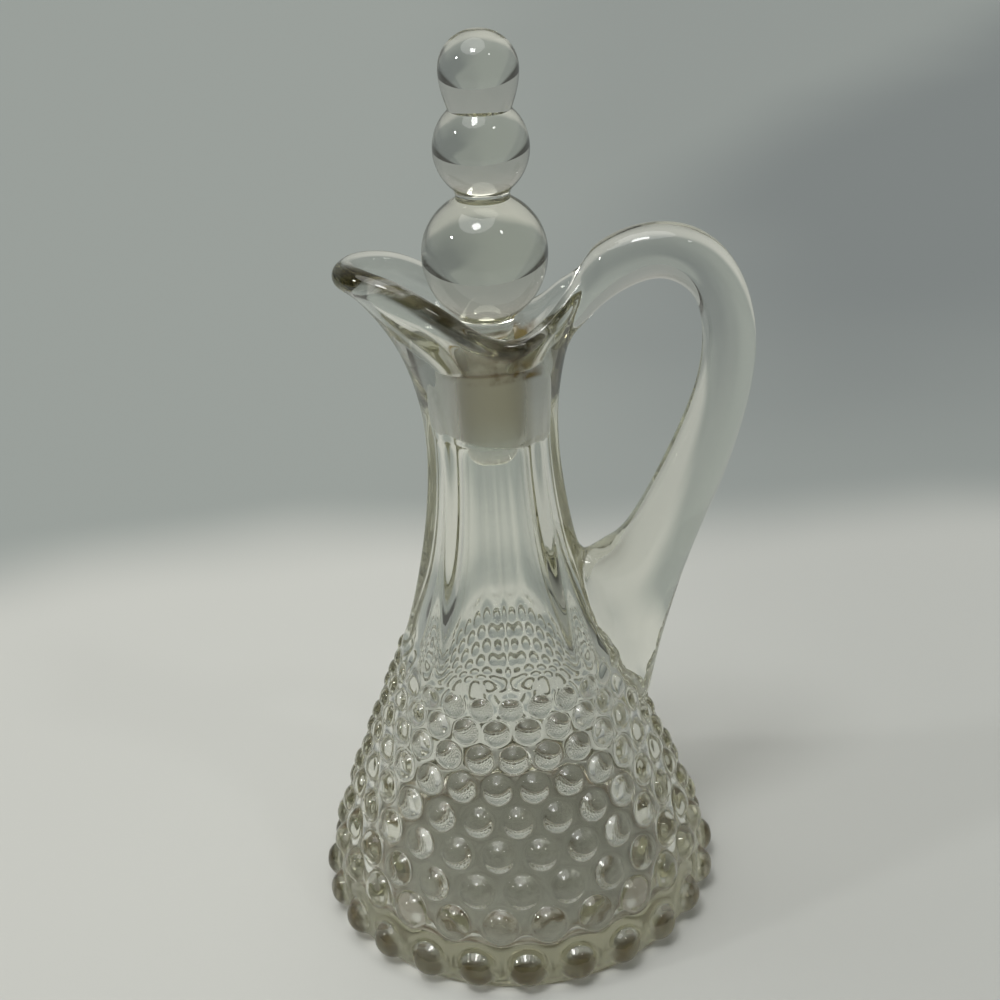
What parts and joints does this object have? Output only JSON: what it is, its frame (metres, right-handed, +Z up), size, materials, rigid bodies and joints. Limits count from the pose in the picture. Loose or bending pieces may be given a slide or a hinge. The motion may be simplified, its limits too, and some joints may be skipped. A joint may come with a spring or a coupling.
{
  "type": "glass cruet",
  "caption": "Small stoppered glass cruet with a hobnailed conical body, panelled neck, pinched pouring lip, applied loop handle and three-ball stopper.",
  "frame": {"origin": "centre of the vessel's flat underside, on the axis of the body and neck", "axes": "+Z up along the neck, +X towards the handle, -X towards the pouring spout"},
  "size_m": [0.087, 0.0786, 0.1703],
  "materials": {
    "clear_glass": "polished, with a ground seat and plug"
  },
  "bodies": {
    "vessel": {"cruet_body": "clear_glass", "handle": "clear_glass"},
    "stopper": {"stopper": "clear_glass"}
  },
  "joints": [
    {"name": "stopper_lift", "type": "slide", "parent": "vessel", "child": "stopper", "axis": [0, 0, 1], "range_m": [0, 0.05]}
  ]
}
